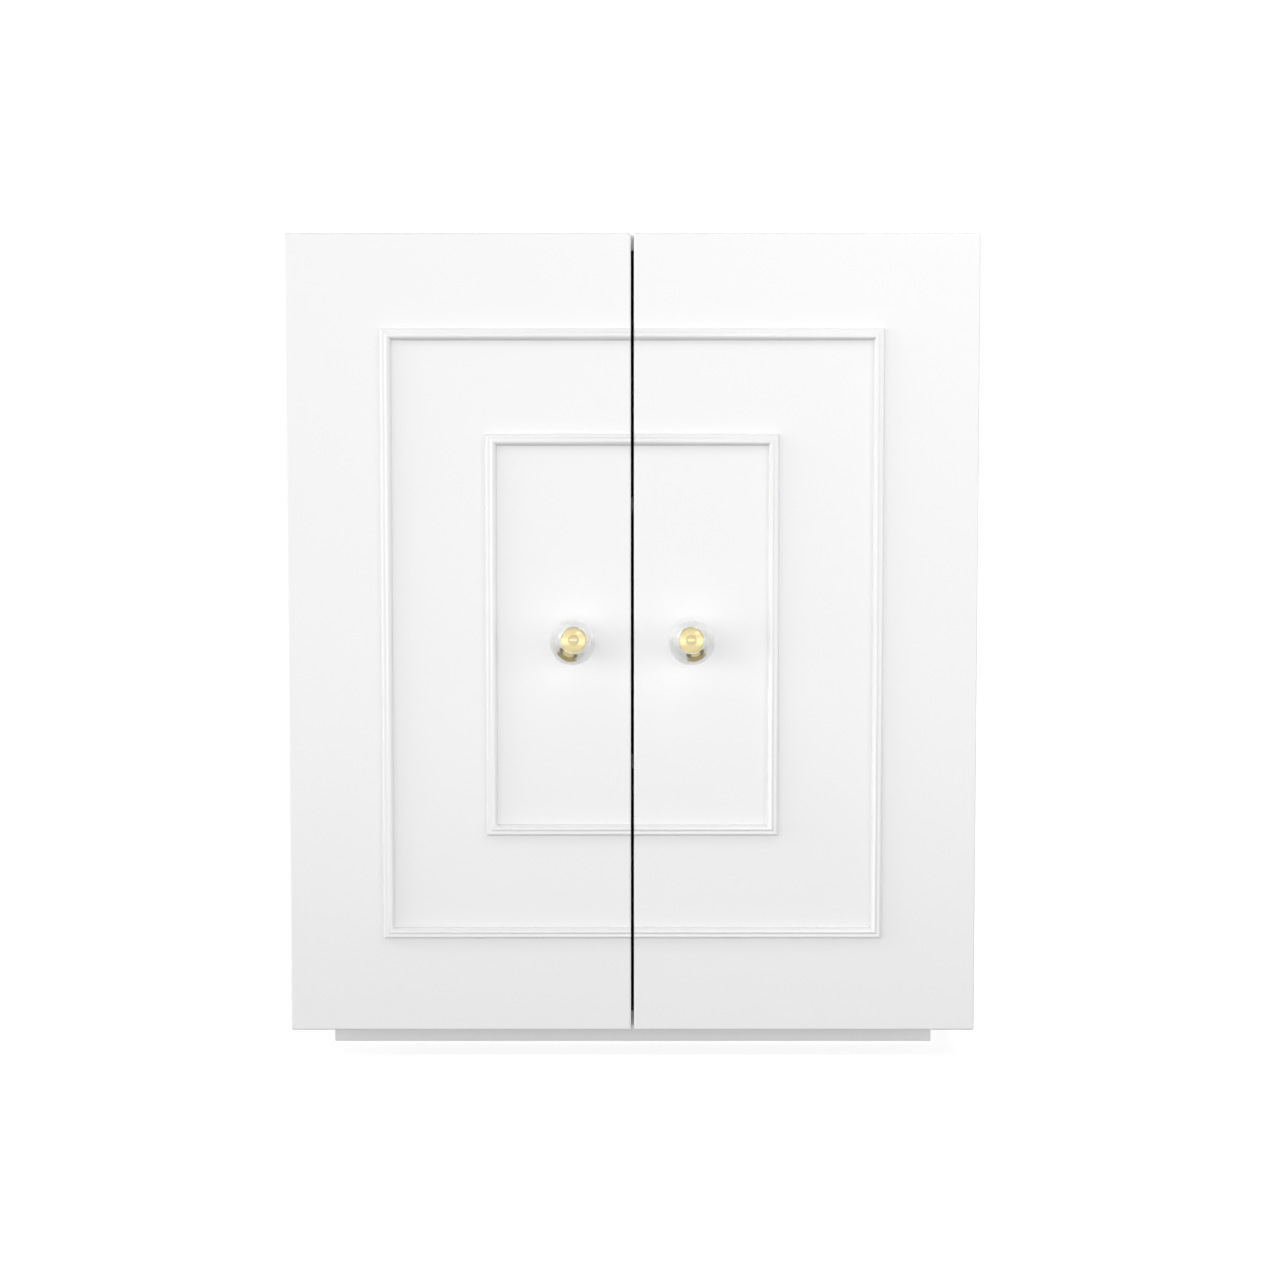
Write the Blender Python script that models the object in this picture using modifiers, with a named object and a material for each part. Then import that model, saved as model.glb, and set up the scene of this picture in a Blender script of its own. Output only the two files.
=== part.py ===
"""Two-door storage cabinet with ring mouldings, clear ball knobs and concealed cup hinges.

Metres, +Z up. The origin is on the floor, under the centre of the whole cabinet's outer box, knobs included.
The doors face -Y. "Left" is -X, as seen by someone who stands in front of the doors.
"""

import math

import bmesh
import bpy
from mathutils import Matrix, Vector

# Whole cabinet
WIDTH = 0.762
HEIGHT = 0.914
DEPTH = 0.406
PLINTH_HEIGHT = 0.032

# Boards
BOARD = 0.018
DOOR_THICK = 0.019
BACK_THICK = 0.006
REBATE = 0.009
GAP = 0.0003
EASE = 0.0008
DOOR_EASE = 0.0015

# Plinth, measured in from the carcass
PLINTH_SIDE_INSET = 0.038
PLINTH_FRONT_INSET = 0.063
PLINTH_BACK_INSET = 0.030

# Doors
DOOR_GAP = 0.0032
DOOR_STANDOFF = 0.003
BUMPER_RADIUS = 0.004
BUMPER_THICK = 0.0024
BUMPER_FROM_EDGE = 0.018

# Mouldings: distance from the doors' outer edges to each ring's outer edge
RING_BORDERS = {"outer": 0.104, "inner": 0.219}
MOULD_WIDTH = 0.0125
MOULD_FOOT = 0.001
MOULD_LOW_BEAD = (0.003, 0.0063)
MOULD_GROOVE = (0.0053, 0.006)
MOULD_HIGH_BEAD = (0.0078, 0.0072)
BEAD_STEPS = 5

# Knobs
KNOB_OFFSET = 0.065
KNOB_RISE = 0.436
BALL_RADIUS = 0.025
BALL_STANDOFF = 0.010
BALL_BORE_DEPTH = 0.010
POST_RADIUS = 0.0065
POST_FLANGE_RADIUS = 0.0084
POST_FLANGE_THICK = 0.0025
SCREW_RADIUS = 0.002
SCREW_HEAD_RADIUS = 0.004
SCREW_HEAD_THICK = 0.0022
SCREW_HEAD_TOP_RADIUS = 0.0032
SCREW_REACH = 0.011
TAPPED_BEYOND_SCREW = 0.002
BALL_STEPS = 14

# Sides of the round pieces
ROUND_STEPS = 24
CUP_STEPS = 32
SMALL_STEPS = 16
PEG_STEPS = 12

# Shelves
SHELF_COUNT = 2
SHELF_FRONT_INSET = 0.020
SHELF_SIDE_PLAY = 0.001
SHELF_BACK_PLAY = 0.003
PEG_RADIUS = 0.0024
PEG_BORE_RADIUS = 0.0026
PEG_BORE_DEPTH = 0.0103
PEG_OUT = 0.008
PEG_ROW_FRONT = 0.045
PEG_ROW_BACK = 0.060
PEG_PITCH = 0.032

# Hinges. Distances "in" run from the pivot towards the middle of the door, "back" from the pivot to the rear.
HINGE_FROM_END = 0.100
PIVOT_INSET = 0.0073
PIVOT_AHEAD = 0.0125
PIN_RADIUS = 0.0012
PIN_BORE_RADIUS = 0.0013
PIN_HALF = 0.0094
CUP_IN = 0.0135
CUP_RADIUS = 0.0175
CUP_INNER_RADIUS = 0.0163
CUP_FLOOR = 0.0026
CUP_FLOOR_THICK = 0.001
CUP_RIM_RADIUS = 0.0185
CUP_RIM_THICK = 0.001
CUP_WING_STEP = 0.00005
CUP_WING_HALF_WIDTH = 0.008
CUP_WING_HALF_LENGTH = 0.029
ARM_EYE_RADIUS = 0.002
ARM_NECK_HALF_HEIGHT = 0.0028
ARM_NECK_THICK = 0.0024
ARM_NECK_IN = 0.0122
ARM_BEND_RADIUS = 0.0026
ARM_SHOULDER = 0.0048
ARM_ROOT_DEPTH = 0.002
ARM_EYE_STEPS = 10
ARM_BEND_STEPS = 4
ARM_BODY_THICK = 0.0094
ARM_BODY_BACK = (0.018, 0.070)
ARM_BODY_HALF_HEIGHT = 0.0075
PLATE_THICK = 0.0033
PLATE_BACK = (0.032, 0.072)
PLATE_HALF_HEIGHT = 0.009
WING_BACK = (0.0435, 0.0555)
WING_HALF_HEIGHT = 0.024

# Worked out from the above
HALF_WIDTH = WIDTH / 2
INNER_HALF = HALF_WIDTH - BOARD
KNOB_OUT = BALL_STANDOFF + 2 * BALL_RADIUS
BACK_Y = (DEPTH + KNOB_OUT) / 2
DOOR_FACE_Y = BACK_Y - DEPTH
DOOR_BACK_Y = DOOR_FACE_Y + DOOR_THICK
FRONT_Y = DOOR_BACK_Y + DOOR_STANDOFF
PIVOT_X = HALF_WIDTH - PIVOT_INSET
PIVOT_Y = FRONT_Y - PIVOT_AHEAD
DOOR_HEIGHT = HEIGHT - PLINTH_HEIGHT
FLOOR_TOP = PLINTH_HEIGHT + BOARD
CEILING = HEIGHT - BOARD
BACK_PANEL_Y = BACK_Y - BACK_THICK
HINGE_HEIGHTS = {"lower": PLINTH_HEIGHT + HINGE_FROM_END, "upper": HEIGHT - HINGE_FROM_END}
SIDES = {"left": -1, "right": 1}
BAY = (CEILING - FLOOR_TOP - SHELF_COUNT * BOARD) / (SHELF_COUNT + 1)
SHELF_BOTTOMS = {
    name: FLOOR_TOP + BAY + place * (BAY + BOARD)
    for place, name in enumerate(("lower", "upper"))
}


def clear_scene():
    """Takes out whatever the scene already holds."""
    for item in list(bpy.data.objects):
        bpy.data.objects.remove(item)


def new_collection(name):
    """A collection linked to the scene."""
    made = bpy.data.collections.new(name)
    bpy.context.scene.collection.children.link(made)
    return made


def finish(name, colour, roughness, metallic=0.0, transmission=0.0):
    """A Principled material."""
    made = bpy.data.materials.new(name)
    made.use_nodes = True
    shader = made.node_tree.nodes["Principled BSDF"]
    shader.inputs["Base Color"].default_value = (*colour, 1.0)
    shader.inputs["Roughness"].default_value = roughness
    shader.inputs["Metallic"].default_value = metallic
    shader.inputs["Transmission Weight"].default_value = transmission
    return made


def place(name, mesh, look, location=(0, 0, 0)):
    """A part from a mesh, in the cabinet's collection, with one material."""
    item = bpy.data.objects.new(name, mesh)
    item.location = location
    mesh.materials.append(look)
    PARTS.objects.link(item)
    return item


def as_cutter(item):
    """Turns a part into a cutting tool that isn't built."""
    PARTS.objects.unlink(item)
    CUTTERS.objects.link(item)
    item.hide_render = True
    item.display_type = "WIRE"
    return item


def bevel(item, width, segments=1):
    """Rounds the edges of a part."""
    rounding = item.modifiers.new("ease", "BEVEL")
    rounding.width = width
    rounding.segments = segments
    rounding.limit_method = "ANGLE"
    return item


def combine(item, tool, operation):
    """Cuts a tool out of a part, or joins it on."""
    step = item.modifiers.new(tool.name, "BOOLEAN")
    step.operation = operation
    step.solver = "EXACT"
    step.object = tool
    return item


def box(name, low, high, look):
    """A block between two corners, given in any order."""
    size = [abs(b - a) for a, b in zip(low, high)]
    middle = [(a + b) / 2 for a, b in zip(low, high)]
    shape = bmesh.new()
    bmesh.ops.create_cube(shape, size=1.0)
    bmesh.ops.scale(shape, vec=size, verts=shape.verts)
    mesh = bpy.data.meshes.new(name)
    shape.to_mesh(mesh)
    shape.free()
    return place(name, mesh, look, middle)


def cylinder(name, centre, radius, length, axis, look, segments=ROUND_STEPS):
    """A round bar about an axis, "X", "Y" or "Z"."""
    turn = {
        "X": Matrix.Rotation(math.pi / 2, 4, "Y"),
        "Y": Matrix.Rotation(math.pi / 2, 4, "X"),
        "Z": Matrix.Identity(4),
    }[axis]
    shape = bmesh.new()
    bmesh.ops.create_cone(
        shape,
        cap_ends=True,
        segments=segments,
        radius1=radius,
        radius2=radius,
        depth=length,
        matrix=turn,
    )
    mesh = bpy.data.meshes.new(name)
    shape.to_mesh(mesh)
    shape.free()
    mesh.shade_smooth()
    mesh.set_sharp_from_angle(angle=math.radians(30))
    return place(name, mesh, look, centre)


def turned(name, profile, centre, look, steps=ROUND_STEPS):
    """A piece turned about an axis that points forward, from (radius, distance ahead of centre) points."""
    shape = bmesh.new()
    points = [shape.verts.new((radius, 0, ahead)) for radius, ahead in profile]
    for first, second in zip(points, points[1:]):
        shape.edges.new((first, second))
    mesh = bpy.data.meshes.new(name)
    shape.to_mesh(mesh)
    shape.free()
    item = place(name, mesh, look, centre)
    item.rotation_euler = (math.pi / 2, 0, 0)
    spin = item.modifiers.new("turn", "SCREW")
    spin.steps = steps
    spin.render_steps = steps
    spin.use_merge_vertices = True
    spin.merge_threshold = 0.00001
    spin.use_smooth_shade = True
    return item


def prism(name, start, shifts, look):
    """A solid between an outline and the same outline with each of its points moved by its own shift."""
    shape = bmesh.new()
    near = [shape.verts.new(point) for point in start]
    cap = shape.faces.new(near)
    grown = bmesh.ops.extrude_face_region(shape, geom=[cap], use_keep_orig=True)["geom"]
    far = [item for item in grown if isinstance(item, bmesh.types.BMVert)]
    by_place = {vert.co.to_tuple(7): shift for vert, shift in zip(near, shifts)}
    for vert in far:
        vert.co += by_place[vert.co.to_tuple(7)]
    bmesh.ops.recalc_face_normals(shape, faces=shape.faces)
    mesh = bpy.data.meshes.new(name)
    shape.to_mesh(mesh)
    shape.free()
    return place(name, mesh, look)


def arc(centre, radius, first, last, steps):
    """Points on an arc, its angles in degrees."""
    turns = [math.radians(first + (last - first) * step / steps) for step in range(steps + 1)]
    return [(centre[0] + radius * math.cos(turn), centre[1] + radius * math.sin(turn)) for turn in turns]


def moulding_profile():
    """The moulding's section as (across from the ring's outer edge, proud of the door)."""
    outer_at, outer_top = MOULD_LOW_BEAD
    inner_at, inner_top = MOULD_HIGH_BEAD
    points = [(0.0, 0.0)]
    for across, up in arc((0, 0), 1.0, 180, 90, BEAD_STEPS):
        points.append((outer_at * (1 + across), MOULD_FOOT + (outer_top - MOULD_FOOT) * up))
    points.append(MOULD_GROOVE)
    for across, up in arc((0, 0), 1.0, 90, 0, BEAD_STEPS):
        points.append((inner_at + (MOULD_WIDTH - inner_at) * across, MOULD_FOOT + (inner_top - MOULD_FOOT) * up))
    points.append((MOULD_WIDTH, 0.0))
    return points


def moulding(name, corner, along, across, length, ends, look):
    """One run of moulding from a ring's outer corner. Each end is mitred (1) or square (0)."""
    ahead = Vector((0, -1, 0))
    start, shifts = [], []
    for side, proud in moulding_profile():
        begin = ends[0] * (side + GAP)
        stop = length - ends[1] * (side + GAP)
        start.append(corner + along * begin + across * side + ahead * (proud + GAP))
        shifts.append(along * (stop - begin))
    return prism(name, start, shifts, look)


def carcass(white, inside):
    """Five boards: sides, top, bottom and a thin back let into a rebate."""
    back_half = INNER_HALF + REBATE
    rebate = as_cutter(
        box(
            "back_rebate_cutter",
            (-back_half, BACK_PANEL_Y - GAP, PLINTH_HEIGHT + REBATE),
            (back_half, BACK_Y + BOARD, HEIGHT - REBATE),
            inside,
        )
    )
    for name, side in SIDES.items():
        panel = box(
            f"side_panel_{name}",
            (side * INNER_HALF, FRONT_Y, PLINTH_HEIGHT),
            (side * HALF_WIDTH, BACK_Y, HEIGHT),
            white,
        )
        bevel(panel, EASE)
        combine(panel, rebate, "DIFFERENCE")
        for shelf, bottom in SHELF_BOTTOMS.items():
            for row, y in peg_rows().items():
                for level in (-1, 0, 1):
                    bore = cylinder(
                        f"peg_bore_{name}_{shelf}_{row}_{level + 2}",
                        (side * INNER_HALF, y, bottom - GAP - PEG_RADIUS + level * PEG_PITCH),
                        PEG_BORE_RADIUS,
                        2 * PEG_BORE_DEPTH,
                        "X",
                        inside,
                        PEG_STEPS,
                    )
                    combine(panel, as_cutter(bore), "DIFFERENCE")
    for name, low, high in (
        ("top_panel", CEILING, HEIGHT),
        ("bottom_panel", PLINTH_HEIGHT, FLOOR_TOP),
    ):
        inner = INNER_HALF - GAP
        panel = box(name, (-inner, FRONT_Y, low), (inner, BACK_Y, high), white)
        bevel(panel, EASE)
        combine(panel, rebate, "DIFFERENCE")
    box(
        "back_panel",
        (GAP - back_half, BACK_PANEL_Y, PLINTH_HEIGHT + REBATE + GAP),
        (back_half - GAP, BACK_Y, HEIGHT - REBATE - GAP),
        inside,
    )


def plinth(paint):
    """Four boards under the carcass, set in from its edges."""
    half = HALF_WIDTH - PLINTH_SIDE_INSET
    front = FRONT_Y + PLINTH_FRONT_INSET
    back = BACK_Y - PLINTH_BACK_INSET
    top = PLINTH_HEIGHT - GAP
    runs = {
        "plinth_front": ((-half, front, 0), (half, front + BOARD, top)),
        "plinth_back": ((-half, back - BOARD, 0), (half, back, top)),
    }
    for name, side in SIDES.items():
        runs[f"plinth_{name}"] = (
            (side * (half - BOARD), front + BOARD + GAP, 0),
            (side * half, back - BOARD - GAP, top),
        )
    for name, (low, high) in runs.items():
        bevel(box(name, low, high, paint), EASE)


def peg_rows():
    """Where the front and back shelf pins stand."""
    return {"front": FRONT_Y + PEG_ROW_FRONT, "back": BACK_PANEL_Y - PEG_ROW_BACK}


def shelves(inside, steel):
    """Loose shelves, each on four pins."""
    half = INNER_HALF - SHELF_SIDE_PLAY
    length = PEG_BORE_DEPTH - GAP + PEG_OUT
    for shelf, bottom in SHELF_BOTTOMS.items():
        board = box(
            f"shelf_{shelf}",
            (-half, FRONT_Y + SHELF_FRONT_INSET, bottom),
            (half, BACK_PANEL_Y - SHELF_BACK_PLAY, bottom + BOARD),
            inside,
        )
        bevel(board, EASE)
        for name, side in SIDES.items():
            for row, y in peg_rows().items():
                cylinder(
                    f"shelf_pin_{shelf}_{name}_{row}",
                    (side * (INNER_HALF - PEG_OUT + length / 2), y, bottom - GAP - PEG_RADIUS),
                    PEG_RADIUS,
                    length,
                    "X",
                    steel,
                    PEG_STEPS,
                )


def at_hinge(side, inward, back, height):
    """A point measured from a door's pivot."""
    return Vector((side * (PIVOT_X - inward), PIVOT_Y + back, height))


def hinge_cup(name, side, height, steel):
    """The cup let into the door, with its two wings and the bore of the pivot pin."""
    rear = PIVOT_AHEAD - DOOR_STANDOFF + GAP
    outer = CUP_FLOOR + CUP_FLOOR_THICK
    centre = at_hinge(side, CUP_IN, 0, height)
    cup = turned(
        name,
        [
            (0, outer),
            (CUP_RADIUS - CUP_FLOOR_THICK, outer),
            (CUP_RADIUS, CUP_FLOOR),
            (CUP_RADIUS, -rear),
            (CUP_RIM_RADIUS, -rear),
            (CUP_RIM_RADIUS, -rear - CUP_RIM_THICK),
            (0, -rear - CUP_RIM_THICK),
        ],
        centre,
        steel,
        CUP_STEPS,
    )
    wing_front = rear + CUP_WING_STEP
    wing_back = rear + CUP_RIM_THICK - CUP_WING_STEP
    wings = box(
        f"{name}_wings",
        centre + Vector((-CUP_WING_HALF_WIDTH, wing_front, -CUP_WING_HALF_LENGTH)),
        centre + Vector((CUP_WING_HALF_WIDTH, wing_back, CUP_WING_HALF_LENGTH)),
        steel,
    )
    combine(cup, as_cutter(wings), "UNION")
    depth = rear + BOARD + CUP_FLOOR
    hollow = cylinder(
        f"{name}_hollow",
        centre + Vector((0, depth / 2 - CUP_FLOOR, 0)),
        CUP_INNER_RADIUS,
        depth,
        "Y",
        steel,
        CUP_STEPS,
    )
    combine(cup, as_cutter(hollow), "DIFFERENCE")
    bore = cylinder(
        f"{name}_pin_bore", at_hinge(side, 0, 0, height), PIN_BORE_RADIUS, 3 * PIN_HALF, "Z", steel
    )
    combine(cup, as_cutter(bore), "DIFFERENCE")
    return cup


def hinge_arm(name, side, height, steel):
    """The arm fixed in the cabinet: an eye round the pin, a bent neck and a thick body over the plate."""
    half = ARM_NECK_THICK / 2
    lean = math.degrees(math.asin(half / ARM_EYE_RADIUS))
    outer = ARM_NECK_IN + ARM_NECK_THICK
    bend = (outer - ARM_BEND_RADIUS, ARM_BEND_RADIUS - half)
    shoulder = ARM_BODY_BACK[0] - ARM_SHOULDER
    root = ARM_BODY_BACK[0] + ARM_ROOT_DEPTH
    outline = arc((0, 0), ARM_EYE_RADIUS, lean, 360 - lean, ARM_EYE_STEPS)
    outline += arc(bend, ARM_BEND_RADIUS, -90, 0, ARM_BEND_STEPS)
    outline += [
        (outer, shoulder),
        (outer + ARM_NECK_THICK, ARM_BODY_BACK[0] - half),
        (outer + ARM_NECK_THICK, root),
        (outer + GAP, root),
        (ARM_NECK_IN, shoulder + half),
        (ARM_NECK_IN, half),
    ]
    low, high = height - ARM_NECK_HALF_HEIGHT, height + ARM_NECK_HALF_HEIGHT
    start = [at_hinge(side, inward, back, low) for inward, back in outline]
    arm = prism(name, start, [Vector((0, 0, high - low))] * len(start), steel)
    body = box(
        f"{name}_body",
        at_hinge(side, outer, ARM_BODY_BACK[0], height - ARM_BODY_HALF_HEIGHT),
        at_hinge(side, outer + ARM_BODY_THICK, ARM_BODY_BACK[1], height + ARM_BODY_HALF_HEIGHT),
        steel,
    )
    bevel(body, EASE)
    combine(arm, as_cutter(body), "UNION")
    bore = cylinder(
        f"{name}_eye_bore", at_hinge(side, 0, 0, height), PIN_BORE_RADIUS, 2 * PIN_HALF, "Z", steel
    )
    combine(arm, as_cutter(bore), "DIFFERENCE")
    return arm


def hinge_plate(name, side, height, steel):
    """The plate screwed to the side panel, with a wing above and below."""
    near = PIVOT_X - INNER_HALF + GAP
    far = near + PLATE_THICK
    plate = box(
        name,
        at_hinge(side, near, PLATE_BACK[0], height - PLATE_HALF_HEIGHT),
        at_hinge(side, far, PLATE_BACK[1], height + PLATE_HALF_HEIGHT),
        steel,
    )
    wing = box(
        f"{name}_wing",
        at_hinge(side, near, WING_BACK[0], height - WING_HALF_HEIGHT),
        at_hinge(side, far - EASE, WING_BACK[1], height + WING_HALF_HEIGHT),
        steel,
    )
    return combine(plate, as_cutter(wing), "UNION")


def knob(name, side, acrylic, brass, steel):
    """A clear ball on a brass post, held by a screw from inside the door."""
    centre = (side * KNOB_OFFSET, DOOR_FACE_Y, PLINTH_HEIGHT + KNOB_RISE)
    bore = POST_RADIUS + GAP
    middle = BALL_STANDOFF + BALL_RADIUS
    shut = math.degrees(math.asin(bore / BALL_RADIUS))
    ball = arc((0, middle), BALL_RADIUS, 90, shut - 90, BALL_STEPS)
    ball[0] = (0, middle + BALL_RADIUS)
    ball += [(bore, BALL_STANDOFF + BALL_BORE_DEPTH), (0, BALL_STANDOFF + BALL_BORE_DEPTH)]
    tip = BALL_STANDOFF + BALL_BORE_DEPTH - GAP
    tapped = SCREW_RADIUS + GAP
    tapped_end = SCREW_REACH + TAPPED_BEYOND_SCREW
    flange = POST_FLANGE_THICK + GAP
    post = [
        (0, tip),
        (POST_RADIUS - EASE / 2, tip),
        (POST_RADIUS, tip - EASE / 2),
        (POST_RADIUS, flange + EASE),
        (POST_RADIUS + EASE, flange),
        (POST_FLANGE_RADIUS - EASE, flange),
        (POST_FLANGE_RADIUS, flange - EASE),
        (POST_FLANGE_RADIUS, GAP),
        (tapped, GAP),
        (tapped, tapped_end),
        (0, tapped_end),
    ]
    under = -DOOR_THICK - GAP
    screw = [
        (0, SCREW_REACH),
        (SCREW_RADIUS - EASE / 2, SCREW_REACH),
        (SCREW_RADIUS, SCREW_REACH - EASE / 2),
        (SCREW_RADIUS, under),
        (SCREW_HEAD_RADIUS, under),
        (SCREW_HEAD_RADIUS, under - SCREW_HEAD_THICK / 2),
        (SCREW_HEAD_TOP_RADIUS, under - SCREW_HEAD_THICK),
        (0, under - SCREW_HEAD_THICK),
    ]
    return [
        turned(f"knob_ball_{name}", ball, centre, acrylic),
        turned(f"knob_post_{name}", post, centre, brass),
        turned(f"knob_screw_{name}", screw, centre, steel, SMALL_STEPS),
    ]


def ring_runs(name, side, ring, border, white):
    """The three runs of one moulding ring on one door."""
    toward_middle = Vector((-side, 0, 0))
    down = Vector((0, 0, -1))
    x = side * (HALF_WIDTH - border)
    top = Vector((x, DOOR_FACE_Y, HEIGHT - border))
    bottom = Vector((x, DOOR_FACE_Y, PLINTH_HEIGHT + border))
    across = HALF_WIDTH - border - DOOR_GAP / 2 - GAP
    drop = DOOR_HEIGHT - 2 * border
    return [
        moulding(f"{ring}_moulding_top_{name}", top, toward_middle, down, across, (1, 0), white),
        moulding(f"{ring}_moulding_stile_{name}", top, down, toward_middle, drop, (1, 1), white),
        moulding(f"{ring}_moulding_bottom_{name}", bottom, toward_middle, -down, across, (1, 0), white),
    ]


def door(name, side, looks):
    """One door with everything that swings with it, held by an empty on the pivot line."""
    white, acrylic, brass, steel, soft = looks
    meeting = DOOR_GAP / 2
    slab = box(
        f"door_{name}",
        (side * meeting, DOOR_FACE_Y, PLINTH_HEIGHT),
        (side * HALF_WIDTH, DOOR_BACK_Y, HEIGHT),
        white,
    )
    bevel(slab, DOOR_EASE, 2)
    pieces = [slab]
    for level, height in HINGE_HEIGHTS.items():
        depth = PIVOT_AHEAD - DOOR_STANDOFF + CUP_FLOOR + CUP_FLOOR_THICK + GAP
        pocket = cylinder(
            f"cup_pocket_{name}_{level}",
            at_hinge(side, CUP_IN, PIVOT_AHEAD - DOOR_STANDOFF, height),
            CUP_RADIUS + GAP,
            2 * depth,
            "Y",
            white,
            CUP_STEPS,
        )
        combine(slab, as_cutter(pocket), "DIFFERENCE")
        pieces.append(hinge_cup(f"hinge_cup_{name}_{level}", side, height, steel))
        pieces.append(
            cylinder(
                f"hinge_pin_{name}_{level}",
                at_hinge(side, 0, 0, height),
                PIN_RADIUS,
                2 * PIN_HALF,
                "Z",
                steel,
                SMALL_STEPS,
            )
        )
    hole = cylinder(
        f"knob_hole_{name}",
        (side * KNOB_OFFSET, (DOOR_FACE_Y + DOOR_BACK_Y) / 2, PLINTH_HEIGHT + KNOB_RISE),
        SCREW_RADIUS + 2 * GAP,
        2 * DOOR_THICK,
        "Y",
        white,
        SMALL_STEPS,
    )
    combine(slab, as_cutter(hole), "DIFFERENCE")
    pieces += knob(name, side, acrylic, brass, steel)
    for ring, border in RING_BORDERS.items():
        pieces += ring_runs(name, side, ring, border, white)
    for level, height in (("lower", PLINTH_HEIGHT + BOARD / 2), ("upper", HEIGHT - BOARD / 2)):
        pieces.append(
            cylinder(
                f"bumper_{name}_{level}",
                (side * BUMPER_FROM_EDGE, DOOR_BACK_Y + GAP + BUMPER_THICK / 2, height),
                BUMPER_RADIUS,
                BUMPER_THICK,
                "Y",
                soft,
                SMALL_STEPS,
            )
        )
    axis = bpy.data.objects.new(f"pivot_{name}", None)
    axis.location = at_hinge(side, 0, 0, PLINTH_HEIGHT + DOOR_HEIGHT / 2)
    PARTS.objects.link(axis)
    for piece in pieces:
        piece.parent = axis
        piece.matrix_parent_inverse = Matrix.Translation(-axis.location)


def main():
    """Builds the cabinet, the carcass first and the doors last."""
    white = finish("white_gloss_lacquer", (0.90, 0.90, 0.895), 0.12)
    inside = finish("white_satin_lacquer", (0.86, 0.86, 0.85), 0.40)
    paint = finish("plinth_lacquer", (0.84, 0.84, 0.84), 0.35)
    acrylic = finish("clear_acrylic", (0.97, 0.98, 0.99), 0.02, transmission=1.0)
    brass = finish("polished_brass", (0.83, 0.62, 0.26), 0.18, metallic=1.0)
    steel = finish("nickel_steel", (0.66, 0.65, 0.62), 0.28, metallic=1.0)
    soft = finish("clear_bumper", (0.85, 0.86, 0.86), 0.45)
    carcass(white, inside)
    plinth(paint)
    shelves(inside, steel)
    for name, side in SIDES.items():
        for level, height in HINGE_HEIGHTS.items():
            hinge_plate(f"hinge_plate_{name}_{level}", side, height, steel)
            hinge_arm(f"hinge_arm_{name}_{level}", side, height, steel)
        door(name, side, (white, acrylic, brass, steel, soft))


clear_scene()
PARTS = new_collection("two_door_cabinet")
CUTTERS = new_collection("cutters")
main()
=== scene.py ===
"""Two-door storage cabinet in white lacquer, with ring mouldings, clear ball knobs and cup hinges.

Builds the finished pieces around the solid model, in its frame: metres, +Z up, doors facing -Y.
"""

import math

import bmesh
import bpy
from bpy.props import FloatProperty, FloatVectorProperty, IntProperty, PointerProperty
from mathutils import Matrix, Vector


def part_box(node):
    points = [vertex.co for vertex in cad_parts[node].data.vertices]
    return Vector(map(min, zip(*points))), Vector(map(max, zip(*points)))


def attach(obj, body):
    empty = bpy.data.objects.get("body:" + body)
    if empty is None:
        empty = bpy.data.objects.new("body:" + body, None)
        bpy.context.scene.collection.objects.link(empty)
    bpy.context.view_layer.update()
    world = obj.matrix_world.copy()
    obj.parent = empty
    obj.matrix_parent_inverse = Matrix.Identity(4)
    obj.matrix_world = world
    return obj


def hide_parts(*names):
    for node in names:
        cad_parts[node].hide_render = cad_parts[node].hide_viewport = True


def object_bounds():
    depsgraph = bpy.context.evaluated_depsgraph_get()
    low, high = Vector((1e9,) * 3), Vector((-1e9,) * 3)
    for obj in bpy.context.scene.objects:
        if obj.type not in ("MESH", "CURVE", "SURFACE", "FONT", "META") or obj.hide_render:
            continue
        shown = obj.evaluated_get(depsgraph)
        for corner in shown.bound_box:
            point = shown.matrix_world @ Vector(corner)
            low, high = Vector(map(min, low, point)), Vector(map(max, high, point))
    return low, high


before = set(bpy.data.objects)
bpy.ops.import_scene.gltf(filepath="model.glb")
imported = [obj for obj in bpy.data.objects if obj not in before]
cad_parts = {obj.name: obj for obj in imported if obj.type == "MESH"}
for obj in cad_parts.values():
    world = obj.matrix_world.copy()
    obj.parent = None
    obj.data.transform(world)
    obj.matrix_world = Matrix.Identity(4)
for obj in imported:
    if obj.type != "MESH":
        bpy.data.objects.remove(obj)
solid_low, solid_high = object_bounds()

bl_info = {
    "name": "Lacquered Cabinet",
    "version": (1, 0, 0),
    "blender": (4, 5, 0),
    "location": "View3D > Sidebar > Cabinet",
    "description": "Makes a two-door lacquered cabinet with clear ball knobs, and a plain studio round it",
    "category": "Add Mesh",
}

SIDES = {"left": -1, "right": 1}
LEVELS = ("lower", "upper")
ROWS = ("front", "back")
CARCASS = "cabinet"
DOORS = {"left": "left_door", "right": "right_door"}

NAIL_STAND = 0.0005
CUP_POCKET_PLAY = 0.0003
SCREW_HOLE_RADIUS = 0.0026
POST_SHARE = 0.0065 / 0.0084
KNOB_SCREW_HEAD = 0.0022
HINGE_SCREW_HEAD = 0.0012

WHITE = (1.0, 1.0, 1.0, 1.0)
BACKDROP_RADIUS = 60.0
BACKDROP_GLOW = 1.1
FLOOR_GLOW = 0.6
FLOOR_DROP = 0.0005
WALL_FOOT = (-0.28, -0.07)
WALL_HEAD = (0.24, 0.44)
CAMERA_PLACE = (0.0084, -2.873, 0.652)
CAMERA_TILT = 3.89


# --------------------------------------------------------------------------------------------------
# Sizes and colours that a user would change


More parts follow.
